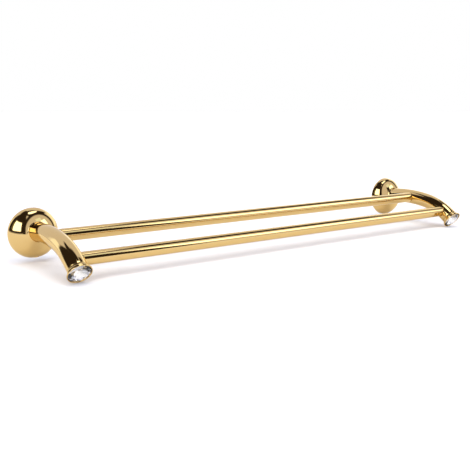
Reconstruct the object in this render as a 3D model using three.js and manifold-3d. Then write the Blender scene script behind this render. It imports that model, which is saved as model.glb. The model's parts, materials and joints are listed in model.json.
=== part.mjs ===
// Double towel rack: two round bars between two curved bracket arms.
//
// Each bracket is one brass casting: a bell-shaped flange with a round arm growing out of it. The
// arm rises a little from the wall, runs out over the bars and bends down to a crystal in a cup.
// Behind each flange a steel plate is screwed to the wall, and its grooved stud holds the bracket.
//
// Frame, in millimetres: +X along the bars, +Y into the wall, +Z up. The wall is the plane y = 0,
// and the origin lies on it midway between the two flanges, at the height of their centres.

import * as THREE from "three";
import { ConvexGeometry } from "three/addons/geometries/ConvexGeometry.js";
import { mergeVertices } from "three/addons/utils/BufferGeometryUtils.js";
import Module from "manifold-3d";

// ---------------------------------------------------------------- driving dimensions

const CENTRES = 600; // flange centre to flange centre
const FIT_GAP = 0.3; // clearance between pieces that touch

const FLANGE_RADIUS = 30;
const RIM_HEIGHT = 0.8; // straight edge at the wall
const DOME_RISE = 21.6; // height of the whole quarter ellipse above that edge
const DOME_SWEEP = 65; // degrees of it before the neck's fillet takes over
const NECK_END = 25.5; // distance along the arm where the fillet has become the arm
const NECK_START_HANDLE = 1.2;
const NECK_END_HANDLE = 2.4;

const ARM_RADIUS = 11;
const ARM_TIP_RADIUS = 11.3;
const ARM_SWELL_START = 90; // distance along the arm where it begins to thicken to the tip
const RISE_ANGLE = 12.2; // degrees above level at which the arm's line leaves the wall
const GENTLE_RADIUS = 229;
const GENTLE_SWEEP = 22;
const TIGHT_RADIUS = 106.5;
const TIGHT_SWEEP = 27.8;
const STRAIGHT_FOOT = 8; // the flange's own foot stays square to the wall
const FOOT_BLEND_END = 22;

const BAR_RADIUS = 7.5;
const BAR_WALL = 1;
const BAR_INSERTION = 2.5; // how far past the arm's centre line the bar's end reaches
const REAR_STATION = 62; // distances along the arm's line
const FRONT_STATION = 125.5;

const SHELL_RADIUS = 25; // hollow behind the flange
const SHELL_STRAIGHT = 3;
const SHELL_TOP = 4.6;
const SHELL_TOP_RADIUS = 22;
const ROOT_RADIUS = 9.5; // post inside the hollow, around the stud
const ROOT_START = 3.2;

const PLATE_RADIUS = 24;
const PLATE_THICKNESS = 2.5;
const PLATE_EDGE = 0.5;
const PLATE_SLOT_OFFSET = 15;
const PLATE_SLOT_LENGTH = 10;
const PLATE_SLOT_RADIUS = 2.4;

const STUD_RADIUS = 5.7;
const STUD_TAIL_RADIUS = 4;
const STUD_HEAD_RADIUS = 5.2;
const STUD_END = 17.8;
const STUD_BORE_END = 18.4;
const GROOVE_DEPTH = 1.1;
const GROOVE_FLOOR = 2.6;
const GROOVE_MOUTH = 5;
const MOUNTING_SCREW_STATION = 8;
const MOUNTING_SCREW_RADIUS = 2.5;
const MOUNTING_SCREW_END = 24.5;

const BAR_SCREW_RADIUS = 2;
const BAR_SCREW_RECESS = 0.5;
const PLUG_LENGTH = 14;
const PLUG_LIP = 1;

const CUP_LENGTH = 6.6;
const CUP_LIP_RADIUS = 13.9;
const CUP_LIP_EDGE = 1.1;
const CUP_SPIGOT_RADIUS = 8.5;
const CUP_SPIGOT_LENGTH = 3.4;
const CUP_SPIGOT_BORE = 3.8;
const CUP_FLOOR_RADIUS = 1.2;
const FOIL_THICKNESS = 0.4;

const STONE_RADIUS = 12.6;
const STONE_GIRDLE = 0.8;
const STONE_CROWN = 3.6;
const STONE_PAVILION = 6;
const STONE_TABLE_RADIUS = 6.6;
const STONE_STAR_RADIUS = 9.6;
const STONE_LOWER_RADIUS = 3.2;
const STONE_FOLD = 8;
const STONE_SEAT_DEPTH = 1.3; // girdle's top below the lip

const ROUND_COARSE = 16;
const ROUND_FINE = 32;
const HEX_SOCKET_RATIO = 0.52; // socket's corner radius to the screw's radius

// ---------------------------------------------------------------- materials

const GOLD = { color: 0xd8a64e, roughness: 0.12, metalness: 1 };
const STEEL = { color: 0xa9adb0, roughness: 0.35, metalness: 1 };
const FOIL = { color: 0xf0f2f4, roughness: 0.05, metalness: 1 };
const CRYSTAL = { color: 0xf4f8fb, roughness: 0.02, metalness: 0 };

// ---------------------------------------------------------------- solids: turning, cutting, placing

const wasm = await Module();
wasm.setup();

function radians(degrees) {
  return THREE.MathUtils.degToRad(degrees);
}

function toManifold(geometry) {
  const bare = geometry.clone();
  bare.deleteAttribute("normal");
  bare.deleteAttribute("uv");
  const merged = mergeVertices(bare, 1e-4);
  return new wasm.Manifold(new wasm.Mesh({
    numProp: 3,
    vertProperties: new Float32Array(merged.attributes.position.array),
    triVerts: new Uint32Array(merged.index.array),
  }));
}

function toGeometry(manifold) {
  const mesh = manifold.getMesh();
  const geometry = new THREE.BufferGeometry();
  geometry.setAttribute("position", new THREE.BufferAttribute(mesh.vertProperties.slice(), 3));
  geometry.setIndex(new THREE.BufferAttribute(mesh.triVerts.slice(), 1));
  return geometry;
}

function cut(geometry, ...tools) {
  let solid = toManifold(geometry);
  for (const tool of tools) {
    solid = solid.subtract(toManifold(tool));
  }
  return toGeometry(solid);
}

// A solid of revolution. Each point is [radius, distance along the axis], from low to high,
// and the axis is +Y until the solid is placed.
function turned(profile, sides = ROUND_COARSE) {
  const points = profile.map(([radius, along]) => new THREE.Vector2(radius, along));
  return new THREE.LatheGeometry(points, sides);
}

function rod(radius, from, to, sides = ROUND_COARSE) {
  return turned([[0, from], [radius, from], [radius, to], [0, to]], sides);
}

// Turns a solid made along +Y to point out from the wall at an angle above level, then moves it.
function facing(geometry, angle, point) {
  return geometry.rotateX(Math.PI - angle).translate(point.x, point.y, point.z);
}

function outFromWall(geometry) {
  return facing(geometry, 0, new THREE.Vector3(0, 0, 0));
}

function named(name, geometry, finish) {
  const shaped = geometry.index ? geometry : mergeVertices(geometry, 1e-4);
  shaped.computeVertexNormals();
  const mesh = new THREE.Mesh(shaped, new THREE.MeshStandardMaterial(finish));
  mesh.name = name;
  return mesh;
}

// ---------------------------------------------------------------- the arm's line

// Point and angle of the arm's centre line at a distance along it. Two arcs make the line:
// a gentle one that rises from the wall and levels out, then a tighter one that bends down.
function armLine(distance) {
  const gentleLength = GENTLE_RADIUS * radians(GENTLE_SWEEP);
  const start = radians(RISE_ANGLE);
  const joint = start - radians(GENTLE_SWEEP);
  const first = start - Math.min(distance, gentleLength) / GENTLE_RADIUS;
  let out = GENTLE_RADIUS * (Math.sin(start) - Math.sin(first));
  let up = GENTLE_RADIUS * (Math.cos(first) - Math.cos(start));
  let angle = first;
  if (distance > gentleLength) {
    angle = joint - (distance - gentleLength) / TIGHT_RADIUS;
    out += TIGHT_RADIUS * (Math.sin(joint) - Math.sin(angle));
    up += TIGHT_RADIUS * (Math.cos(angle) - Math.cos(joint));
  }
  const blend = THREE.MathUtils.smoothstep(distance, STRAIGHT_FOOT, FOOT_BLEND_END);
  out = THREE.MathUtils.lerp(distance, out, blend);
  return { point: new THREE.Vector3(0, -out, up * blend), angle: angle * blend };
}

const ARM_LENGTH = GENTLE_RADIUS * radians(GENTLE_SWEEP) + TIGHT_RADIUS * radians(TIGHT_SWEEP);

// ---------------------------------------------------------------- bracket

// Outline of the flange, the neck and the arm as if the arm were straight.
function bracketProfile() {
  const sweep = radians(DOME_SWEEP);
  const dome = new THREE.EllipseCurve(0, RIM_HEIGHT, FLANGE_RADIUS, DOME_RISE, 0, sweep);
  const shoulder = dome.getPoint(1);
  const slope = new THREE.Vector2(-FLANGE_RADIUS * Math.sin(sweep), DOME_RISE * Math.cos(sweep)).normalize();
  const neck = new THREE.CubicBezierCurve(
    shoulder,
    shoulder.clone().addScaledVector(slope, NECK_START_HANDLE),
    new THREE.Vector2(ARM_RADIUS, NECK_END - NECK_END_HANDLE),
    new THREE.Vector2(ARM_RADIUS, NECK_END),
  );
  const points = [[0, 0], [FLANGE_RADIUS, 0]];
  points.push(...dome.getPoints(11).map((p) => [p.x, p.y]));
  points.push(...neck.getPoints(4).slice(1).map((p) => [p.x, p.y]));
  const steps = 14;
  for (let step = 1; step <= steps; step += 1) {
    const along = THREE.MathUtils.lerp(NECK_END, ARM_LENGTH, step / steps);
    const swell = THREE.MathUtils.smoothstep(along, ARM_SWELL_START, ARM_LENGTH);
    points.push([THREE.MathUtils.lerp(ARM_RADIUS, ARM_TIP_RADIUS, swell), along]);
  }
  points.push([0, ARM_LENGTH]);
  return points;
}

// Bends a straight turned solid so that its axis follows the arm's line.
function bendAlongArm(geometry) {
  const position = geometry.attributes.position;
  for (let i = 0; i < position.count; i += 1) {
    const line = armLine(position.getY(i));
    const above = -position.getZ(i);
    position.setXYZ(
      i,
      position.getX(i),
      line.point.y + above * Math.sin(line.angle),
      line.point.z + above * Math.cos(line.angle),
    );
  }
  return geometry;
}

// Space behind the flange: room for the wall plate, and a ring-shaped hollow around the root post.
function flangeHollow() {
  const wall = new THREE.EllipseCurve(
    SHELL_TOP_RADIUS, SHELL_STRAIGHT,
    SHELL_RADIUS - SHELL_TOP_RADIUS, SHELL_TOP - SHELL_STRAIGHT, 0, Math.PI / 2,
  );
  const profile = [[0, -1], [SHELL_RADIUS, -1]];
  profile.push(...wall.getPoints(4).map((p) => [p.x, p.y]));
  profile.push([ROOT_RADIUS, SHELL_TOP], [ROOT_RADIUS, ROOT_START], [0, ROOT_START]);
  return outFromWall(turned(profile, ROUND_FINE));
}

// A hole across the arm for a bar, from the side that faces the other bracket.
function barSocket(station, inward) {
  const { point } = armLine(station);
  const depth = BAR_INSERTION + FIT_GAP;
  const hole = rod(BAR_RADIUS + FIT_GAP, -depth, ARM_RADIUS * 2);
  return hole.rotateZ(-inward * Math.PI / 2).translate(0, point.y, point.z);
}

// A hole from below, square to the arm's line, for the set screw that holds a bar.
function barScrewHole(station) {
  return underArm(rod(BAR_SCREW_RADIUS + FIT_GAP, 0, ARM_RADIUS * 2, 12), station);
}

function underArm(geometry, station) {
  const { point, angle } = armLine(station);
  return facing(geometry, angle - Math.PI / 2, point);
}

function bracket(side) {
  const body = bendAlongArm(turned(bracketProfile(), ROUND_FINE));
  const tip = armLine(ARM_LENGTH);
  const studBore = outFromWall(rod(STUD_RADIUS + FIT_GAP, 0, STUD_BORE_END));
  const cupBore = facing(rod(CUP_SPIGOT_RADIUS + FIT_GAP, -CUP_SPIGOT_BORE, 2), tip.angle, tip.point);
  const screwHole = rod(MOUNTING_SCREW_RADIUS + FIT_GAP, 0, FLANGE_RADIUS, 16)
    .rotateX(-Math.PI / 2)
    .translate(0, -MOUNTING_SCREW_STATION, 0);
  const solid = cut(
    body,
    flangeHollow(),
    studBore,
    cupBore,
    screwHole,
    barSocket(REAR_STATION, side.inward),
    barSocket(FRONT_STATION, side.inward),
    barScrewHole(REAR_STATION),
    barScrewHole(FRONT_STATION),
  );
  return named(`bracket_${side.name}`, solid, GOLD);
}

// ---------------------------------------------------------------- wall fixing

function slotCutter(offset) {
  const half = PLATE_SLOT_LENGTH / 2 - PLATE_SLOT_RADIUS;
  const outline = new THREE.Shape();
  outline.absarc(offset + half, 0, PLATE_SLOT_RADIUS, -Math.PI / 2, Math.PI / 2);
  outline.absarc(offset - half, 0, PLATE_SLOT_RADIUS, Math.PI / 2, Math.PI * 1.5);
  const slot = new THREE.ExtrudeGeometry(outline, {
    depth: PLATE_THICKNESS + 2, bevelEnabled: false, curveSegments: 6,
  });
  return slot.rotateX(Math.PI / 2).translate(0, 1, 0);
}

function wallPlate(side) {
  const disc = outFromWall(turned([
    [0, 0],
    [PLATE_RADIUS, 0],
    [PLATE_RADIUS, PLATE_THICKNESS - PLATE_EDGE],
    [PLATE_RADIUS - PLATE_EDGE, PLATE_THICKNESS],
    [0, PLATE_THICKNESS],
  ], ROUND_FINE));
  const countersink = STUD_HEAD_RADIUS - STUD_TAIL_RADIUS;
  const studHole = outFromWall(turned([
    [0, -1],
    [STUD_HEAD_RADIUS + FIT_GAP, -1],
    [STUD_HEAD_RADIUS + FIT_GAP, FIT_GAP],
    [STUD_TAIL_RADIUS + FIT_GAP, countersink + FIT_GAP],
    [STUD_TAIL_RADIUS + FIT_GAP, PLATE_THICKNESS + 1],
    [0, PLATE_THICKNESS + 1],
  ]));
  const solid = cut(disc, studHole, slotCutter(PLATE_SLOT_OFFSET), slotCutter(-PLATE_SLOT_OFFSET));
  return named(`wall_plate_${side.name}`, solid, STEEL);
}

// The stud is riveted through the plate. The mounting screw's point sits in its groove.
function wallStud(side) {
  const shoulder = PLATE_THICKNESS + FIT_GAP;
  const floor = STUD_RADIUS - GROOVE_DEPTH;
  const middle = MOUNTING_SCREW_STATION;
  const tipBevel = 1;
  const solid = outFromWall(turned([
    [0, FIT_GAP],
    [STUD_HEAD_RADIUS, FIT_GAP],
    [STUD_TAIL_RADIUS, FIT_GAP + STUD_HEAD_RADIUS - STUD_TAIL_RADIUS],
    [STUD_TAIL_RADIUS, shoulder],
    [STUD_RADIUS, shoulder],
    [STUD_RADIUS, middle - GROOVE_MOUTH / 2],
    [floor, middle - GROOVE_FLOOR / 2],
    [floor, middle + GROOVE_FLOOR / 2],
    [STUD_RADIUS, middle + GROOVE_MOUTH / 2],
    [STUD_RADIUS, STUD_END - tipBevel],
    [STUD_RADIUS - tipBevel, STUD_END],
    [0, STUD_END],
  ]));
  return named(`wall_stud_${side.name}`, solid, STEEL);
}

// A socket set screw along +Y: its point at the low end, a hex socket in the high end.
function setScrew(radius, from, to, pointRadius) {
  const body = turned([
    [0, from],
    [pointRadius, from],
    [radius, from + radius - pointRadius],
    [radius, to - 0.3],
    [radius - 0.3, to],
    [0, to],
  ], 16);
  const socketDepth = (to - from) * 0.45;
  const socket = rod(radius * HEX_SOCKET_RATIO, to - socketDepth, to + 1, 6);
  return cut(body, socket);
}

function mountingScrew(side) {
  const from = STUD_RADIUS - GROOVE_DEPTH + FIT_GAP;
  const screw = setScrew(MOUNTING_SCREW_RADIUS, from, MOUNTING_SCREW_END, 1.1)
    .rotateX(-Math.PI / 2)
    .translate(0, -MOUNTING_SCREW_STATION, 0);
  return named(`mounting_screw_${side.name}`, screw, STEEL);
}

// ---------------------------------------------------------------- bars

function bar(name, station) {
  const { point } = armLine(station);
  const half = CENTRES / 2 + BAR_INSERTION - PLUG_LIP - FIT_GAP;
  const inner = BAR_RADIUS - BAR_WALL;
  const tube = new THREE.Shape();
  tube.absarc(0, 0, BAR_RADIUS, 0, Math.PI * 2);
  const bore = new THREE.Path();
  bore.absarc(0, 0, inner, 0, Math.PI * 2, true);
  tube.holes.push(bore);
  const solid = new THREE.ExtrudeGeometry(tube, { depth: half * 2, bevelEnabled: false, curveSegments: ROUND_COARSE });
  const mesh = named(name, solid.translate(0, 0, -half).rotateY(Math.PI / 2), GOLD);
  mesh.position.copy(point);
  return mesh;
}

// The plug's lip covers the tube's end, and its body backs the tube where the set screw bears.
function barPlug(place, station, side) {
  const { point } = armLine(station);
  const inside = BAR_RADIUS - BAR_WALL - FIT_GAP;
  const bevel = 0.8;
  const plug = turned([
    [0, -BAR_INSERTION],
    [BAR_RADIUS, -BAR_INSERTION],
    [BAR_RADIUS, PLUG_LIP - BAR_INSERTION],
    [inside, PLUG_LIP - BAR_INSERTION],
    [inside, PLUG_LENGTH - bevel],
    [inside - bevel, PLUG_LENGTH],
    [0, PLUG_LENGTH],
  ]);
  plug.rotateZ(-side.inward * Math.PI / 2).translate(0, point.y, point.z);
  return named(`bar_plug_${place}_${side.name}`, plug, STEEL);
}

function barScrew(place, station, side) {
  const from = BAR_RADIUS + FIT_GAP;
  const screw = setScrew(BAR_SCREW_RADIUS, from, ARM_RADIUS - BAR_SCREW_RECESS, 1.6);
  return named(`bar_screw_${place}_${side.name}`, underArm(screw, station), STEEL);
}

// ---------------------------------------------------------------- crystal and its setting

function atArmTip(geometry) {
  const tip = armLine(ARM_LENGTH);
  return facing(geometry, tip.angle, tip.point);
}

const GIRDLE_TOP = CUP_LENGTH - STONE_SEAT_DEPTH;
const GIRDLE_BOTTOM = GIRDLE_TOP - STONE_GIRDLE;

// Flared cup: a spigot enters the arm, the seat follows the back of the stone, the lip holds it.
function crystalCup(side) {
  const back = FIT_GAP;
  const pocket = STONE_RADIUS + FIT_GAP;
  const seatLift = FIT_GAP * 2 + FOIL_THICKNESS;
  const wall = new THREE.CubicBezierCurve(
    new THREE.Vector2(ARM_TIP_RADIUS, back),
    new THREE.Vector2(ARM_TIP_RADIUS, CUP_LENGTH * 0.45),
    new THREE.Vector2(CUP_LIP_RADIUS - 0.8, CUP_LENGTH - CUP_LIP_EDGE * 1.6),
    new THREE.Vector2(CUP_LIP_RADIUS, CUP_LENGTH - CUP_LIP_EDGE),
  );
  const profile = [[0, -CUP_SPIGOT_LENGTH], [CUP_SPIGOT_RADIUS, -CUP_SPIGOT_LENGTH], [CUP_SPIGOT_RADIUS, back]];
  profile.push(...wall.getPoints(4).map((p) => [p.x, p.y]));
  profile.push([CUP_LIP_RADIUS, CUP_LENGTH - 0.4], [CUP_LIP_RADIUS - 0.4, CUP_LENGTH]);
  profile.push([pocket, CUP_LENGTH], [pocket, GIRDLE_BOTTOM - seatLift]);
  profile.push([CUP_FLOOR_RADIUS, GIRDLE_BOTTOM - STONE_PAVILION - seatLift]);
  profile.push([0, GIRDLE_BOTTOM - STONE_PAVILION - seatLift]);
  return named(`crystal_cup_${side.name}`, atArmTip(turned(profile, ROUND_FINE)), GOLD);
}

// Thin reflecting cone that lines the seat behind the stone.
function crystalFoil(side) {
  const rimRadius = STONE_RADIUS - FIT_GAP;
  const lower = GIRDLE_BOTTOM - FIT_GAP - FOIL_THICKNESS;
  const apex = lower - STONE_PAVILION + FIT_GAP;
  const solid = turned([
    [0, apex],
    [CUP_FLOOR_RADIUS, apex],
    [rimRadius, lower],
    [rimRadius, lower + FOIL_THICKNESS],
    [CUP_FLOOR_RADIUS, apex + FOIL_THICKNESS],
    [0, apex + FOIL_THICKNESS],
  ], ROUND_FINE);
  return named(`crystal_foil_${side.name}`, atArmTip(solid), FOIL);
}

function ringOfPoints(radius, height, count, turn) {
  return Array.from({ length: count }, (_, index) => {
    const angle = (index + turn) * (Math.PI * 2) / count;
    return new THREE.Vector3(radius * Math.cos(angle), height, radius * Math.sin(angle));
  });
}

// Height at which the points between two facet corners make the kite facets flat.
function kiteHeight(innerRadius, innerHeight, outerRadius, outerHeight, radius) {
  const middle = radius * Math.cos(Math.PI / STONE_FOLD);
  return THREE.MathUtils.mapLinear(middle, innerRadius, outerRadius, innerHeight, outerHeight);
}

// Round brilliant: table, star and kite facets above the girdle, main facets below it.
function crystal(side) {
  const tableTop = GIRDLE_TOP + STONE_CROWN;
  const starHeight = kiteHeight(STONE_TABLE_RADIUS, tableTop, STONE_RADIUS, GIRDLE_TOP, STONE_STAR_RADIUS);
  const culet = GIRDLE_BOTTOM - STONE_PAVILION + FIT_GAP;
  const lowerHeight = kiteHeight(0, culet, STONE_RADIUS, GIRDLE_BOTTOM, STONE_LOWER_RADIUS);
  const points = [
    ...ringOfPoints(STONE_TABLE_RADIUS, tableTop, STONE_FOLD, 0),
    ...ringOfPoints(STONE_STAR_RADIUS, starHeight, STONE_FOLD, 0.5),
    ...ringOfPoints(STONE_RADIUS, GIRDLE_TOP, STONE_FOLD * 2, 0),
    ...ringOfPoints(STONE_RADIUS, GIRDLE_BOTTOM, STONE_FOLD * 2, 0),
    ...ringOfPoints(STONE_LOWER_RADIUS, lowerHeight, STONE_FOLD, 0.5),
    new THREE.Vector3(0, culet, 0),
  ];
  return named(`crystal_${side.name}`, atArmTip(new ConvexGeometry(points)), CRYSTAL);
}

// ---------------------------------------------------------------- assembly

const SIDES = [
  { name: "left", centre: -CENTRES / 2, inward: 1 },
  { name: "right", centre: CENTRES / 2, inward: -1 },
];
const STATIONS = { rear: REAR_STATION, front: FRONT_STATION };

function bracketGroup(side) {
  const group = new THREE.Group();
  group.position.x = side.centre;
  group.add(bracket(side), wallPlate(side), wallStud(side), mountingScrew(side));
  group.add(crystalCup(side), crystalFoil(side), crystal(side));
  for (const [place, station] of Object.entries(STATIONS)) {
    group.add(barPlug(place, station, side), barScrew(place, station, side));
  }
  return group;
}

const rack = new THREE.Group();
for (const [place, station] of Object.entries(STATIONS)) {
  rack.add(bar(`${place}_bar`, station));
}
for (const side of SIDES) {
  rack.add(bracketGroup(side));
}

export default rack;
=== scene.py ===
# %% [markdown]
# # A double towel rack in polished gold
#
# The rack is two round bars held between two curved brackets. Each bracket is one brass casting:
# a bell-shaped flange against the wall, and a round arm that grows out of it, rises a little, runs
# out over the bars and bends down to a crystal set in a small cup. The working parts (plates, studs and
# screws) were designed in CAD. This lesson loads that model and gives every visible part a fine
# surface and a finish of its own.

# %% Load the frame
import json
import math

import bmesh
import bpy
from mathutils import Matrix, Vector


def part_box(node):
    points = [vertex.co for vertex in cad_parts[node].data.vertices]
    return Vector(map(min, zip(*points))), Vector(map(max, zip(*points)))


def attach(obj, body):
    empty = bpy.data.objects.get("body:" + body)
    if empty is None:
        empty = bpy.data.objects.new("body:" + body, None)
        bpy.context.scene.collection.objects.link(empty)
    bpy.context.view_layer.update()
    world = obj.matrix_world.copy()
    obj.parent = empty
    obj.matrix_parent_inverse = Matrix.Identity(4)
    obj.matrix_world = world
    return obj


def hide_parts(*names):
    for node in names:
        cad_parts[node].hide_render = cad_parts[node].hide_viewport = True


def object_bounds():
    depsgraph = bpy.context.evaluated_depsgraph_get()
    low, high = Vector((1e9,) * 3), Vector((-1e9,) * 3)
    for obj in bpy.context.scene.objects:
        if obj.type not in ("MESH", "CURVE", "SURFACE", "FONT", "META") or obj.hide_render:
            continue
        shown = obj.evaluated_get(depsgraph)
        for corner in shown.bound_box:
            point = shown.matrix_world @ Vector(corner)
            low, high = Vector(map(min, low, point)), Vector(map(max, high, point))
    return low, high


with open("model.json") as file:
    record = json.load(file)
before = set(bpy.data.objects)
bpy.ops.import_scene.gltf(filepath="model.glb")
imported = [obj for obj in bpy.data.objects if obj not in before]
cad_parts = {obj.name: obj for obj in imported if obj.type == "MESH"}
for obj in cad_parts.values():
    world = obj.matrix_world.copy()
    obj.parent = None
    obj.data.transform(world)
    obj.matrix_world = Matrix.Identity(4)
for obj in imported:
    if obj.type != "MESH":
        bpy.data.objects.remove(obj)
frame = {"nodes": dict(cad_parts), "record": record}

cad_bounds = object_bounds()
MM = 0.001
BODY = "root"
SIDES = {"left": 1, "right": -1}  # which way along X the bars lie, seen from each bracket
PLACES = ("rear", "front")
print("frame holds", len(frame["nodes"]), "nodes; size in mm:",
      [round((high - low) / MM, 1) for low, high in zip(*cad_bounds)])

# %% [markdown]
# ## Sizes taken from the frame
#
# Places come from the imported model, so that nothing has to be fitted by eye. The flange is the
# widest part of a bracket, and it sits flat on the wall, where y is 0. A bar's box gives its
# centre line and its radius. The frame is in metres, but the shop drawing of a fitting like this
# is in millimetres, so every length here is too, and a finished piece is shrunk at the end.

# %% Measure the frame
def box_mm(node):
    low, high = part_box(node)
    return low / MM, high / MM


bracket_low, bracket_high = box_mm("bracket_left")
flange_radius = bracket_high.z
half_centres = -(bracket_low.x + bracket_high.x) / 2
bar_centre = {}
for place in PLACES:
    low, high = box_mm(f"{place}_bar")
    bar_centre[place] = (low + high) / 2
    bar_end = high.x
    bar_radius = (high.z - low.z) / 2
print("flange radius", round(flange_radius, 2), "mm; flange centres",
      round(2 * half_centres, 1), "mm apart; bar radius", round(bar_radius, 2), "mm")

# %% [markdown]
# ## The camera
#
# The rack is seen from the front left and a little above, with the left bracket nearest. A lens
# slightly longer than normal keeps the far bracket from shrinking too much. The camera's place is
# given as a distance from the wall, along the bars and above them, and it is turned first about
# the vertical and then tipped down, as a tripod head is.

# %% Place the camera
CAMERA_PLACE = Vector((-561.3, -784.0, 143.6))
CAMERA_TURN = 35.26  # degrees to the right of looking straight at the wall
CAMERA_TIP = 10.50  # degrees down from level
SENSOR_WIDTH = 36
LENS = 52.07

camera_data = bpy.data.cameras.new("camera")
camera_data.sensor_width = SENSOR_WIDTH
camera_data.lens = LENS
camera_data.clip_start = 0.01
camera_data.clip_end = 100
camera = bpy.data.objects.new("camera", camera_data)
camera.location = CAMERA_PLACE * MM
camera.rotation_euler = (math.radians(90 - CAMERA_TIP), 0, math.radians(-CAMERA_TURN))
bpy.context.collection.objects.link(camera)
bpy.context.scene.camera = camera
print("camera is", round(CAMERA_PLACE.length), "mm from the middle of the wall line")

# %% [markdown]
# ## Outlines and turned solids
#
# Nearly every piece of the rack is round, as if it had come off a lathe. Such a piece is drawn as
# half of its outline: pairs of a radius and a distance out along the axis. Arcs and Bezier curves
# fill in the round stretches, and the spin operator sweeps the outline once around the axis.


# %% Outline helpers
def arc(centre, width, height, start, end, steps):
    """Points on part of an ellipse around a (radius, along) centre, angles in degrees."""
    points = []
    for step in range(steps + 1):
        angle = math.radians(start + (end - start) * step / steps)
        points.append((centre[0] + width * math.cos(angle), centre[1] + height * math.sin(angle)))
    return points


def bezier(start, start_handle, end_handle, end, steps):
    """Points on a cubic curve, without its first point."""
    points = []
    for step in range(1, steps + 1):
        t = step / steps
        weights = ((1 - t) ** 3, 3 * t * (1 - t) ** 2, 3 * t * t * (1 - t), t ** 3)
        shares = list(zip(weights, (start, start_handle, end_handle, end)))
        points.append(tuple(sum(weight * corner[axis] for weight, corner in shares) for axis in (0, 1)))
    return points


def turned(outline, sides):
    """A bmesh swept from an outline, around an axis that points straight out from the wall."""
    bm = bmesh.new()
    verts = [bm.verts.new((radius, -along, 0)) for radius, along in outline]
    edges = [bm.edges.new(pair) for pair in zip(verts, verts[1:])]
    bmesh.ops.spin(bm, geom=verts + edges, cent=(0, 0, 0), axis=(0, 1, 0), dvec=(0, 0, 0),
                   angle=math.tau, steps=sides, use_merge=True, use_duplicate=False)
    bmesh.ops.remove_doubles(bm, verts=bm.verts, dist=1e-4)
    bmesh.ops.recalc_face_normals(bm, faces=bm.faces)
    return bm


def rod(radius, start, end, sides=48):
    return turned([(0, start), (radius, start), (radius, end), (0, end)], sides)


# %% [markdown]
# A finished bmesh is moved to its place, shrunk to metres and made into an object. Its faces are
# shaded smooth, and edges sharper than a set angle stay crisp, so that a turned corner still
# reads as a corner. The function also gives the piece its material, hangs it on the body and hides
# the CAD node that it stands for.

# %% From bmesh to piece
SHARP_ANGLE = math.radians(32)


def soften(mesh):
    mesh.polygons.foreach_set("use_smooth", [True] * len(mesh.polygons))
    mesh.set_sharp_from_angle(angle=SHARP_ANGLE)


def to_object(name, bm):
    mesh = bpy.data.meshes.new(name)
    bm.to_mesh(mesh)
    bm.free()
    obj = bpy.data.objects.new(name, mesh)
    bpy.context.collection.objects.link(obj)
    return obj


def finished(obj, place, material, node, smooth=True):
    obj.data.transform(Matrix.Scale(MM, 4) @ place)
    if smooth:
        soften(obj.data)
    obj.data.materials.clear()
    obj.data.materials.append(material)
    obj.data.polygons.foreach_set("material_index", [0] * len(obj.data.polygons))
    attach(obj, BODY)
    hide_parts(node)
    bm = bmesh.new()
    bm.from_mesh(obj.data)
    tight = all(edge.is_manifold for edge in bm.edges) and bm.calc_volume(signed=True) > 0
    bm.free()
    print(f"{obj.name}: {len(obj.data.polygons)} faces, {'closed' if tight else 'OPEN'}")
    return obj


# %% [markdown]
# ## The arm's line
#
# The arm follows two arcs in a vertical plane: a gentle one that leaves the wall a little upwards
# and levels out, and a tighter one that bends down. The function gives the point at a distance
# along the arm and the angle above level there. Near the wall the line stays square to it, so
# that the flange sits flat.

# %% Walk along the arm
RISE_ANGLE = math.radians(12.2)
GENTLE_RADIUS, GENTLE_SWEEP = 229, math.radians(22)
TIGHT_RADIUS, TIGHT_SWEEP = 106.5, math.radians(27.8)
STRAIGHT_FOOT, FOOT_BLEND_END = 8, 22
GENTLE_LENGTH = GENTLE_RADIUS * GENTLE_SWEEP
ARM_LENGTH = GENTLE_LENGTH + TIGHT_RADIUS * TIGHT_SWEEP


def smoothstep(value, low, high):
    t = min(max((value - low) / (high - low), 0), 1)
    return t * t * (3 - 2 * t)


def arm_line(along):
    """Distance out from the wall, height, and angle above level in radians."""
    angle = RISE_ANGLE - min(along, GENTLE_LENGTH) / GENTLE_RADIUS
    out = GENTLE_RADIUS * (math.sin(RISE_ANGLE) - math.sin(angle))
    up = GENTLE_RADIUS * (math.cos(angle) - math.cos(RISE_ANGLE))
    if along > GENTLE_LENGTH:
        joint = angle
        angle = joint - (along - GENTLE_LENGTH) / TIGHT_RADIUS
        out += TIGHT_RADIUS * (math.sin(joint) - math.sin(angle))
        up += TIGHT_RADIUS * (math.cos(angle) - math.cos(joint))
    blend = smoothstep(along, STRAIGHT_FOOT, FOOT_BLEND_END)
    return (1 - blend) * along + blend * out, blend * up, blend * angle


tip_out, tip_up, tip_angle = arm_line(ARM_LENGTH)
print("arm is", round(ARM_LENGTH, 1), "mm long and ends", round(tip_out, 1), "mm out,",
      round(-tip_up, 1), "mm down, pointing", round(-math.degrees(tip_angle), 1), "degrees below level")


# %% [markdown]
# ## Bending and placing
#
# The bracket is turned straight and then bent, as a smith would bend a turned bar: every point
# keeps its distance from the axis, and the axis follows the arm's line. Small pieces at the arm's
# end are turned at the origin and moved there whole. A bracket is made on the line x = 0, and
# at_side moves it to its end of the rack.

# %% Bend and place helpers
def bend_along_arm(bm):
    for vert in bm.verts:
        out, up, angle = arm_line(-vert.co.y)
        above = vert.co.z
        vert.co.y = -out + above * math.sin(angle)
        vert.co.z = up + above * math.cos(angle)
    return bm


def at_side(side):
    return Matrix.Translation((-SIDES[side] * half_centres, 0, 0))


def aim(out, up, angle=0.0):
    """Matrix that turns an axis to an angle above level and starts it at a point of the arm's plane."""
    return Matrix.Translation((0, -out, up)) @ Matrix.Rotation(-angle, 4, "X")


def under_arm(along):
    """Matrix for a piece that points down out of the arm, square to it."""
    out, up, angle = arm_line(along)
    return aim(out, up, angle - math.pi / 2)


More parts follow.
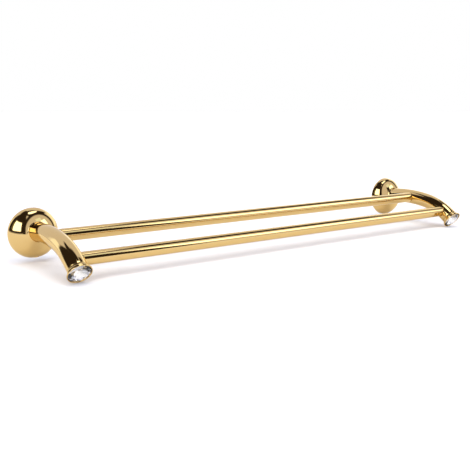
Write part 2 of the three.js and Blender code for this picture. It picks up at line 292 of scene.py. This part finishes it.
ARM_TIP = aim(tip_out, tip_up, tip_angle)
STATIONS = {"rear": 62, "front": 125.5}  # distances along the arm's line
for place in PLACES:
    print(place, "bar sits", round(abs(-bar_centre[place].y - arm_line(STATIONS[place])[0]), 2),
          "mm off the arm's line")

# %% [markdown]
# ## The bracket's outline
#
# From the wall outwards: a narrow straight rim, the bell, and a tight neck that becomes the arm.
# The bell is the first part of a quarter ellipse. The neck is one cubic curve, whose first handle
# continues the bell's slope and whose last handle lies along the arm, so that neither end of it
# shows a corner. The mirror finish would betray a corner at once.

# %% Draw the outline
RIM_HEIGHT, RIM_ROUND = 0.8, 0.35
DOME_RISE, DOME_SWEEP = 21.6, 65
NECK_END, NECK_START_HANDLE, NECK_END_HANDLE = 25.5, 1.2, 2.4
ARM_RADIUS, ARM_TIP_RADIUS, ARM_SWELL_START = 11, 11.3, 90
ARM_ROWS = 76
TIP_ROUND = 0.25


def arm_radius(along):
    return ARM_RADIUS + (ARM_TIP_RADIUS - ARM_RADIUS) * smoothstep(along, ARM_SWELL_START, ARM_LENGTH)


def bracket_outline():
    dome = arc((0, RIM_HEIGHT), flange_radius, DOME_RISE, 0, DOME_SWEEP, 56)
    sweep = math.radians(DOME_SWEEP)
    slope = Vector((-flange_radius * math.sin(sweep), DOME_RISE * math.cos(sweep))).normalized()
    shoulder = Vector(dome[-1])
    points = [(0, 0)]
    points += arc((flange_radius - RIM_ROUND, RIM_ROUND), RIM_ROUND, RIM_ROUND, -90, 0, 4)
    points += dome
    points += bezier(shoulder, shoulder + slope * NECK_START_HANDLE,
                     (ARM_RADIUS, NECK_END - NECK_END_HANDLE), (ARM_RADIUS, NECK_END), 14)
    for row in range(1, ARM_ROWS + 1):
        along = NECK_END + (ARM_LENGTH - TIP_ROUND - NECK_END) * row / ARM_ROWS
        points.append((arm_radius(along), along))
    points += arc((ARM_TIP_RADIUS - TIP_ROUND, ARM_LENGTH - TIP_ROUND), TIP_ROUND, TIP_ROUND, 30, 90, 3)
    points += [(0, ARM_LENGTH)]
    return points


print("bracket outline has", len(bracket_outline()), "points")

# %% [markdown]
# ## Holes in the bracket
#
# The casting is hollow behind the flange, where the wall plate sits, and it is bored for the wall
# stud, the set screws, the two bars and the crystal's cup. Each hole is a turned cutter, and a
# Boolean takes them out of the solid. The Boolean's result is written back to the mesh straight
# away, and the cutters are deleted.

# %% Cutters
FIT_GAP = 0.3
HOLLOW_RADIUS, HOLLOW_STRAIGHT, HOLLOW_TOP, HOLLOW_TOP_RADIUS = 25, 3, 4.6, 22
ROOT_RADIUS, ROOT_START = 9.5, 3.2
STUD_RADIUS, STUD_BORE_END = 5.7, 18.4
MOUNTING_SCREW_STATION, MOUNTING_SCREW_RADIUS = 8, 2.5
BAR_SCREW_RADIUS = 2
CUP_SPIGOT_RADIUS, CUP_SPIGOT_BORE = 8.5, 3.8
BAR_INSERTION = 2.5


def hollow_cutter():
    roof = arc((HOLLOW_TOP_RADIUS, HOLLOW_STRAIGHT), HOLLOW_RADIUS - HOLLOW_TOP_RADIUS,
               HOLLOW_TOP - HOLLOW_STRAIGHT, 0, 90, 8)
    around_post = [(ROOT_RADIUS, HOLLOW_TOP), (ROOT_RADIUS, ROOT_START), (0, ROOT_START)]
    return turned([(0, -1), (HOLLOW_RADIUS, -1)] + roof + around_post, 96)


def cutters(side):
    """Pairs of a turned cutter and the matrix that puts it in its place."""
    yield hollow_cutter(), Matrix()
    yield rod(STUD_RADIUS + FIT_GAP, 0, STUD_BORE_END), Matrix()
    below_neck = aim(MOUNTING_SCREW_STATION, 0, -math.pi / 2)
    yield rod(MOUNTING_SCREW_RADIUS + FIT_GAP, 0, 30), below_neck
    yield rod(CUP_SPIGOT_RADIUS + FIT_GAP, -CUP_SPIGOT_BORE, 2), ARM_TIP
    towards_bars = Matrix.Rotation(SIDES[side] * math.pi / 2, 4, "Z")
    socket_floor = ARM_RADIUS - BAR_INSERTION - FIT_GAP
    for place in PLACES:
        centre = Matrix.Translation((0, bar_centre[place].y, bar_centre[place].z))
        yield rod(bar_radius + FIT_GAP, socket_floor, 2 * ARM_RADIUS, 96), centre @ towards_bars
        yield rod(BAR_SCREW_RADIUS + FIT_GAP, 0, 2 * ARM_RADIUS, 24), under_arm(STATIONS[place])


def carve(obj, tools):
    helpers = []
    for bm, matrix in tools:
        bmesh.ops.transform(bm, matrix=matrix, verts=bm.verts)
        tool = to_object("cutter", bm)
        helpers.append(tool)
        cut = obj.modifiers.new("cut", "BOOLEAN")
        cut.operation = "DIFFERENCE"
        cut.solver = "MANIFOLD"
        cut.object = tool
    evaluated = obj.evaluated_get(bpy.context.evaluated_depsgraph_get())
    carved = bpy.data.meshes.new_from_object(evaluated)
    obj.modifiers.clear()
    obj.data = carved
    for tool in helpers:
        bpy.data.objects.remove(tool)


# %% [markdown]
# ## Polished gold
#
# The finish is gold plate on mirror-polished brass. It is almost all reflection, so its character
# comes from a warm base colour and from tiny departures from a perfect mirror: the buffing wheel
# leaves a faint waviness a few millimetres long, and wiping leaves hair-fine lines that change
# the roughness a little. Both are noise in Object coordinates, far too weak to see as a pattern.


# %% Material helpers
def new_material(name):
    material = bpy.data.materials.new(name)
    material.use_nodes = True
    return material, material.node_tree.nodes, material.node_tree.links


def set_inputs(node, **values):
    for label, value in values.items():
        node.inputs[label.replace("_", " ")].default_value = value


def noise(nodes, links, scale, detail, stretch=(1, 1, 1)):
    """Noise in Object coordinates, whose grains grow longer along an axis with a small stretch number."""
    place = nodes.new("ShaderNodeTexCoord")
    mapping = nodes.new("ShaderNodeMapping")
    mapping.inputs["Scale"].default_value = stretch
    grains = nodes.new("ShaderNodeTexNoise")
    set_inputs(grains, Scale=scale, Detail=detail)
    links.new(place.outputs["Object"], mapping.inputs["Vector"])
    links.new(mapping.outputs["Vector"], grains.inputs["Vector"])
    return grains.outputs["Fac"]


def vary(nodes, links, factor, socket, low, high):
    """Lets a factor move a number socket between two values."""
    reach = nodes.new("ShaderNodeMapRange")
    set_inputs(reach, From_Min=0.3, From_Max=0.7, To_Min=low, To_Max=high)
    links.new(factor, reach.inputs["Value"])
    links.new(reach.outputs["Result"], socket)


def tint(nodes, links, factor, socket, low, high):
    """Lets a factor move a colour socket between two colours."""
    blend = nodes.new("ShaderNodeMix")
    blend.data_type = "RGBA"
    blend.inputs["A"].default_value = low
    blend.inputs["B"].default_value = high
    links.new(factor, blend.inputs["Factor"])
    links.new(blend.outputs["Result"], socket)


def bumps(nodes, links, height, shader, strength, distance):
    bump = nodes.new("ShaderNodeBump")
    set_inputs(bump, Strength=strength, Distance=distance)
    links.new(height, bump.inputs["Height"])
    links.new(bump.outputs["Normal"], shader.inputs["Normal"])


# %% [markdown]
# Reflection from gold is the colour below when it is looked at straight on, and almost white where
# the surface turns away from the eye. Both colours go straight on the shader's own sockets.

# %% Gold
GOLD_COLOUR = (0.69, 0.48, 0.19, 1)
GOLD_EDGE = (1.0, 0.95, 0.80, 1)


def polished_gold():
    material, nodes, links = new_material("polished_gold")
    shader = nodes["Principled BSDF"]
    set_inputs(shader, Base_Color=GOLD_COLOUR, Metallic=1.0, Specular_Tint=GOLD_EDGE)
    hairlines = noise(nodes, links, scale=900.0, detail=4.0, stretch=(0.15, 1, 1))
    vary(nodes, links, hairlines, shader.inputs["Roughness"], 0.04, 0.09)
    waves = noise(nodes, links, scale=160.0, detail=1.0)
    bumps(nodes, links, waves, shader, strength=0.05, distance=0.0004)
    return material


gold = polished_gold()
print(gold.name, "is made of", len(gold.node_tree.nodes), "nodes")

# %% [markdown]
# ## The brackets
#
# Both brackets are turned, bent and carved, and then moved to their place on the wall. They stand
# for the CAD castings, which keep their job in the physics model.

# %% Make the brackets
ROUND_SIDES = 112

for side in SIDES:
    casting = to_object(f"bracket_casting_{side}", bend_along_arm(turned(bracket_outline(), ROUND_SIDES)))
    carve(casting, cutters(side))
    finished(casting, at_side(side), gold, f"bracket_{side}")

# %% [markdown]
# ## The bars
#
# Each bar is a drawn tube, polished like the brackets. Its wall is a small rectangle, spun around
# the bar's axis and laid along X.

# %% Make the bars
BAR_WALL = 1.0
inner = bar_radius - BAR_WALL
bar_outline = [(inner, -bar_end), (bar_radius, -bar_end), (bar_radius, bar_end), (inner, bar_end),
               (inner, -bar_end)]
for place in PLACES:
    tube = to_object(f"{place}_towel_bar", turned(bar_outline, 96))
    centre = Matrix.Translation((0, bar_centre[place].y, bar_centre[place].z))
    along_x = Matrix.Rotation(math.pi / 2, 4, "Z")
    finished(tube, centre @ along_x, gold, f"{place}_bar")

# %% [markdown]
# ## The crystal's cup
#
# A thin flared cup closes the arm's end. Its wall leaves the arm flush and opens to a rounded lip
# that holds the stone. Inside, a cone follows the back of the stone.

# %% Make the cups
CUP_LENGTH, CUP_LIP_RADIUS, CUP_LIP_EDGE = 6.6, 13.9, 1.1
CUP_SPIGOT_LENGTH, CUP_FLOOR_RADIUS = 3.4, 1.2
STONE_RADIUS, STONE_GIRDLE, STONE_CROWN, STONE_PAVILION = 12.6, 0.8, 3.6, 6.0
STONE_SEAT_DEPTH = 1.3
FOIL_THICKNESS = 0.4
GIRDLE_TOP = CUP_LENGTH - STONE_SEAT_DEPTH
GIRDLE_BOTTOM = GIRDLE_TOP - STONE_GIRDLE


def cup_outline():
    back = FIT_GAP
    pocket = STONE_RADIUS + FIT_GAP
    seat_lift = 2 * FIT_GAP + FOIL_THICKNESS
    floor_at = GIRDLE_BOTTOM - STONE_PAVILION - seat_lift
    lip_round = (CUP_LIP_RADIUS - pocket) / 2
    points = [(0, -CUP_SPIGOT_LENGTH), (CUP_SPIGOT_RADIUS, -CUP_SPIGOT_LENGTH), (CUP_SPIGOT_RADIUS, back)]
    points += [(ARM_TIP_RADIUS - 0.2, back), (ARM_TIP_RADIUS, back + 0.2)]
    points += bezier((ARM_TIP_RADIUS, back + 0.2), (ARM_TIP_RADIUS, CUP_LENGTH * 0.45),
                     (CUP_LIP_RADIUS - 0.8, CUP_LENGTH - CUP_LIP_EDGE * 1.6),
                     (CUP_LIP_RADIUS, CUP_LENGTH - CUP_LIP_EDGE), 16)
    points += arc((pocket + lip_round, CUP_LENGTH - lip_round), lip_round, lip_round, 0, 180, 10)
    points += [(pocket, GIRDLE_BOTTOM - seat_lift), (CUP_FLOOR_RADIUS, floor_at), (0, floor_at)]
    return points


for side in SIDES:
    cup = to_object(f"stone_cup_{side}", turned(cup_outline(), ROUND_SIDES))
    finished(cup, at_side(side) @ ARM_TIP, gold, f"crystal_cup_{side}")

# %% [markdown]
# ## The stone
#
# The stone is a round brilliant. Its facets are found by a convex hull around rings of corner
# points, and flat neighbours are merged, so that each facet is one face. The points between two
# facet corners lie at the height that keeps the kite-shaped facets flat.

# %% Cut the stones
STONE_FOLD = 8
TABLE_RADIUS, STAR_RADIUS, LOWER_RADIUS = 6.6, 9.6, 3.2


def ring_points(bm, radius, along, count, turn):
    for index in range(count):
        angle = math.tau * (index + turn) / count
        bm.verts.new((radius * math.cos(angle), -along, radius * math.sin(angle)))


def kite_height(inner, outer, radius):
    """Height on the line between two (radius, height) points, for a corner at the given radius."""
    middle = radius * math.cos(math.pi / STONE_FOLD)
    share = (middle - inner[0]) / (outer[0] - inner[0])
    return inner[1] + share * (outer[1] - inner[1])


def brilliant():
    table = GIRDLE_TOP + STONE_CROWN
    culet = GIRDLE_BOTTOM - STONE_PAVILION + FIT_GAP
    star = kite_height((TABLE_RADIUS, table), (STONE_RADIUS, GIRDLE_TOP), STAR_RADIUS)
    lower = kite_height((0, culet), (STONE_RADIUS, GIRDLE_BOTTOM), LOWER_RADIUS)
    bm = bmesh.new()
    ring_points(bm, TABLE_RADIUS, table, STONE_FOLD, 0)
    ring_points(bm, STAR_RADIUS, star, STONE_FOLD, 0.5)
    ring_points(bm, STONE_RADIUS, GIRDLE_TOP, 2 * STONE_FOLD, 0)
    ring_points(bm, STONE_RADIUS, GIRDLE_BOTTOM, 2 * STONE_FOLD, 0)
    ring_points(bm, LOWER_RADIUS, lower, STONE_FOLD, 0.5)
    bm.verts.new((0, -culet, 0))
    bmesh.ops.convex_hull(bm, input=bm.verts)
    bmesh.ops.dissolve_limit(bm, angle_limit=math.radians(0.5), verts=bm.verts, edges=bm.edges)
    bmesh.ops.recalc_face_normals(bm, faces=bm.faces)
    return bm


# %% [markdown]
# The stone is clear lead-free crystal. Its facets are polished on a wheel, which leaves faint
# lines that blur a reflection very slightly. Noise drives that small roughness, and a bump far
# too low to see keeps neighbouring facets from looking perfectly alike.

# %% Crystal material
CRYSTAL_COLOUR = (1.0, 0.99, 0.965, 1)
CRYSTAL_IOR = 1.56


def clear_crystal():
    material, nodes, links = new_material("clear_crystal")
    shader = nodes["Principled BSDF"]
    set_inputs(shader, Base_Color=CRYSTAL_COLOUR, IOR=CRYSTAL_IOR, Transmission_Weight=1.0)
    wheel_lines = noise(nodes, links, scale=1400.0, detail=3.0, stretch=(0.1, 1, 1))
    vary(nodes, links, wheel_lines, shader.inputs["Roughness"], 0.0, 0.004)
    unevenness = noise(nodes, links, scale=220.0, detail=1.0)
    bumps(nodes, links, unevenness, shader, strength=0.01, distance=0.0001)
    return material


crystal_glass = clear_crystal()
for side in SIDES:
    stone = to_object(f"stone_{side}", brilliant())
    finished(stone, at_side(side) @ ARM_TIP, crystal_glass, f"crystal_{side}",
             smooth=False)

# %% [markdown]
# ## The foil
#
# A thin silvered cone lines the seat. It sends light that leaves the back of the stone forward
# again, which makes the stone bright even in a closed cup.

# %% Make the foils
def foil_outline():
    rim = STONE_RADIUS - FIT_GAP
    lower = GIRDLE_BOTTOM - FIT_GAP - FOIL_THICKNESS
    apex = lower - STONE_PAVILION + FIT_GAP
    return [(0, apex), (CUP_FLOOR_RADIUS, apex), (rim, lower), (rim, lower + FOIL_THICKNESS),
            (CUP_FLOOR_RADIUS, apex + FOIL_THICKNESS), (0, apex + FOIL_THICKNESS)]


def silver_foil():
    material, nodes, links = new_material("silver_foil")
    shader = nodes["Principled BSDF"]
    set_inputs(shader, Base_Color=(0.95, 0.955, 0.96, 1), Metallic=1.0)
    creases = noise(nodes, links, scale=350.0, detail=2.0)
    vary(nodes, links, creases, shader.inputs["Roughness"], 0.02, 0.07)
    bumps(nodes, links, creases, shader, strength=0.05, distance=0.0002)
    return material


foil = silver_foil()
for side in SIDES:
    cone = to_object(f"stone_foil_{side}", turned(foil_outline(), 64))
    finished(cone, at_side(side) @ ARM_TIP, foil, f"crystal_foil_{side}")

# %% [markdown]
# ## Working parts
#
# The wall plates, studs, plugs and set screws were drawn to size in CAD, and their shapes are
# already right. They stay, and only their finish is made here. The plate and its stud are
# zinc-plated steel, which is cloudy with small crystals of zinc. The set screws are brushed
# stainless steel. The plugs are plain brass from the lathe, with fine turning lines across X.

# %% Finish the working parts
ZINC_DARK, ZINC_LIGHT = (0.26, 0.27, 0.28, 1), (0.46, 0.47, 0.48, 1)
STEEL_DARK, STEEL_LIGHT = (0.50, 0.50, 0.51, 1), (0.60, 0.60, 0.61, 1)
BRASS_DARK, BRASS_LIGHT = (0.60, 0.42, 0.17, 1), (0.74, 0.54, 0.24, 1)


def worked_metal(name, dark, light, scale, stretch, roughness):
    material, nodes, links = new_material(name)
    shader = nodes["Principled BSDF"]
    set_inputs(shader, Metallic=1.0)
    grain = noise(nodes, links, scale, detail=4.0, stretch=stretch)
    tint(nodes, links, grain, shader.inputs["Base Color"], dark, light)
    vary(nodes, links, grain, shader.inputs["Roughness"], *roughness)
    bumps(nodes, links, grain, shader, strength=0.2, distance=0.00005)
    return material


METALS = {
    "plate_steel": worked_metal("plate_steel", ZINC_DARK, ZINC_LIGHT, scale=140.0,
                                stretch=(1, 1, 1), roughness=(0.28, 0.45)),
    "screw_steel": worked_metal("screw_steel", STEEL_DARK, STEEL_LIGHT, scale=900.0,
                                stretch=(1, 1, 0.2), roughness=(0.2, 0.34)),
    "turned_brass": worked_metal("turned_brass", BRASS_DARK, BRASS_LIGHT, scale=1500.0,
                                 stretch=(1, 0.1, 0.1), roughness=(0.18, 0.3)),
}
parts = {part["node"]: part["material_slot"] for part in frame["record"]["subparts"]}
for node, slot in parts.items():
    if slot in METALS:
        for holder in frame["nodes"][node].material_slots:
            holder.material = METALS[slot]
print("working parts finished:", sum(slot in METALS for slot in parts.values()))

# %% [markdown]
# ## The floor
#
# A pale sheet of paper lies just under the rack. It is far larger than the view, so that its edge
# never shows, and its grain is almost too weak to see. Polished metal reflects it, so it is also
# what makes the lower half of every round piece bright.

# %% Floor
FLOOR_GAP = 0.5 * MM
FLOOR_SIZE = 30

bm = bmesh.new()
bmesh.ops.create_grid(bm, x_segments=1, y_segments=1, size=FLOOR_SIZE)
bmesh.ops.translate(bm, vec=(0, 0, cad_bounds[0].z - FLOOR_GAP), verts=bm.verts)
floor = to_object("floor", bm)
floor_paper, nodes, links = new_material("floor_paper")
paper = nodes["Principled BSDF"]
set_inputs(paper, Roughness=0.9, Specular_IOR_Level=0.0)
tint(nodes, links, noise(nodes, links, scale=40.0, detail=3.0), paper.inputs["Base Color"],
     (0.89, 0.89, 0.89, 1), (0.91, 0.91, 0.91, 1))
floor.data.materials.append(floor_paper)
print("floor lies", round(-floor.data.vertices[0].co.z / MM, 1), "mm below the flange centres")

# %% [markdown]
# ## The studio
#
# Polished metal shows its surroundings more than its own colour. The studio is drawn as a sky, in
# azimuth and elevation. Azimuth is 0 straight out from the wall and grows to the right as the rack
# is seen from the front. This cell turns a direction into those two angles, and defines a few
# small helpers that join sums in the node tree.

# %% Studio sky
world = bpy.data.worlds.new("studio")
bpy.context.scene.world = world
bpy.context.scene.view_settings.view_transform = "Standard"
world.use_nodes = True
sky = world.node_tree.nodes
sky_links = world.node_tree.links


def maths(operation, first, second=None):
    node = sky.new("ShaderNodeMath")
    node.operation = operation
    for socket, value in zip(node.inputs, (first, second)):
        if isinstance(value, (int, float)):
            socket.default_value = value
        elif value is not None:
            sky_links.new(value, socket)
    return node.outputs[0]


def ramp(value, low, high, start=0.0, end=1.0):
    node = sky.new("ShaderNodeMapRange")
    node.interpolation_type = "SMOOTHSTEP"
    set_inputs(node, From_Min=low, From_Max=high, To_Min=start, To_Max=end)
    sky_links.new(value, node.inputs["Value"])
    return node.outputs["Result"]


view = sky.new("ShaderNodeTexCoord")
direction = sky.new("ShaderNodeSeparateXYZ")
sky_links.new(view.outputs["Generated"], direction.inputs["Vector"])
right, inwards, up = (direction.outputs[axis] for axis in "XYZ")
azimuth = maths("DEGREES", maths("ARCTAN2", right, maths("MULTIPLY", inwards, -1)))
elevation = maths("DEGREES", maths("ARCSINE", up))


print("sky nodes so far:", len(sky))

# %% [markdown]
# The sky is built like paper cut-outs laid over each other. A card is a patch between two azimuths
# and two elevations, and a disc is a round patch. All have soft edges, in degrees, because a
# reflection of a perfectly sharp edge looks drawn.


# %% Cards and discs
def lay(below, mask, colour):
    mix = sky.new("ShaderNodeMix")
    mix.data_type = "RGBA"
    sky_links.new(mask, mix.inputs["Factor"])
    if isinstance(below, tuple):
        mix.inputs["A"].default_value = (*below, 1)
    else:
        sky_links.new(below, mix.inputs["A"])
    mix.inputs["B"].default_value = (*colour, 1)
    return mix.outputs["Result"]


def card(below, azimuths, elevations, colour, soft=2.0, falls=(0.0, 0.0)):
    """Lays a soft-edged patch over the sky. Its lower and upper edge may fall with azimuth."""
    mask = maths("MULTIPLY", ramp(azimuth, azimuths[0] - soft, azimuths[0] + soft),
                 ramp(azimuth, azimuths[1] - soft, azimuths[1] + soft, 1, 0))
    for edge, fall, ends in zip(elevations, falls, ((0, 1), (1, 0))):
        height = maths("ADD", elevation, maths("MULTIPLY", azimuth, fall)) if fall else elevation
        mask = maths("MULTIPLY", mask, ramp(height, edge - soft, edge + soft, *ends))
    return lay(below, mask, colour)


def disc(below, centre, radius, colour, soft=2.0):
    """Lays a round patch over the sky, around an (azimuth, elevation)."""
    across, above = (math.radians(angle) for angle in centre)
    towards = (math.sin(across) * math.cos(above), -math.cos(across) * math.cos(above), math.sin(above))
    dot = sky.new("ShaderNodeVectorMath")
    dot.operation = "DOT_PRODUCT"
    sky_links.new(view.outputs["Generated"], dot.inputs[0])
    dot.inputs[1].default_value = towards
    away = maths("DEGREES", maths("ARCCOSINE", dot.outputs["Value"]))
    return lay(below, ramp(away, radius - soft, radius + soft, 1, 0), colour)


print("cards can now be laid over", len(sky), "nodes")

# %% [markdown]
# The room is a warm white backdrop with a dark corner on the left, under a dark ceiling. A big
# soft box stands in the dark corner, with a strip beside it. A wide light hangs overhead to the
# right, and a long low one makes the bright line along the bars. The dark card near it draws the
# black line beside that bright one.

# %% Lay out the studio
BACKDROP = (0.90, 0.91, 1.12)
DARK = (0.035, 0.025, 0.02)
DUSK = (0.22, 0.23, 0.18)
SOFT_BOX = (3.2, 3.4, 3.9)
PALE = (1.5, 1.6, 1.85)
FAINT = (1.2, 1.45, 1.7)

ANYWHERE, ZENITH = (-250, 250), 160
BRIGHT_ROOM = (28, 8)  # where the open, bright side of the room is centred

# the ceiling, the wide light overhead, and the dark band below that light
glow = card(BACKDROP, ANYWHERE, (68, ZENITH), DARK, soft=4)
glow = card(glow, (-15, 95), (74, ZENITH), SOFT_BOX, falls=(0.1, 0))
glow = card(glow, (-27, 112), (64, 74), DARK, falls=(0.22, 0.1))
# the open side of the room, with a dark edge and a pale screen on its right
glow = disc(glow, BRIGHT_ROOM, 64, DARK)
glow = card(glow, (97, 150), (3, 66), PALE, falls=(0, 0.29), soft=4)
glow = disc(glow, BRIGHT_ROOM, 54.5, BACKDROP)
# the dark corner on the left, with its strip, the dusky gap and the big soft box
glow = card(glow, (-141, -27), (2, ZENITH), DARK, soft=3)
glow = card(glow, (-250, -139), (56, ZENITH), DARK, soft=3)
glow = card(glow, (-152, -141), (4, 30), PALE)
glow = card(glow, (-113, -95), (11, 36), DUSK)
glow = card(glow, (-95, -46), (10, 36), SOFT_BOX, falls=(0, 0.09))
# what draws the dark and the bright line along the bars
glow = card(glow, (12, 32), (0, 41), DARK)
glow = card(glow, (20, 48), (40, 50), FAINT)
glow = card(glow, (32, 62), (20, 38), SOFT_BOX)
print("studio drawn with", len(sky), "nodes")

# %% [markdown]
# The sky is shown to every ray but the camera's own, which sees plain white. The overhead lamp is
# a little warm and very broad, so that the shadow under the bars stays faint, and it is kept out
# of the metal's reflections.

# %% Light the room
seen = sky.new("ShaderNodeLightPath").outputs["Is Camera Ray"]
backdrop = sky.new("ShaderNodeMix")
backdrop.data_type = "RGBA"
sky_links.new(seen, backdrop.inputs["Factor"])
sky_links.new(glow, backdrop.inputs["A"])
backdrop.inputs["B"].default_value = (1, 1, 1, 1)
sky_links.new(backdrop.outputs["Result"], sky["Background"].inputs["Color"])

SUN_STRENGTH = 1.9
SUN_COLOUR = (1.0, 0.93, 0.83)
SUN_WIDTH = 70  # degrees across, as seen from the rack
SUN_TURN = (20, -10, 0)
sun_data = bpy.data.lights.new("overhead", "SUN")
sun_data.energy = SUN_STRENGTH
sun_data.color = SUN_COLOUR
sun_data.angle = math.radians(SUN_WIDTH)
sun = bpy.data.objects.new("overhead", sun_data)
sun.rotation_euler = tuple(math.radians(turn) for turn in SUN_TURN)
sun.visible_glossy = False
sun.visible_transmission = False
bpy.context.collection.objects.link(sun)

print("lamp strength", SUN_STRENGTH, "over", SUN_WIDTH, "degrees")
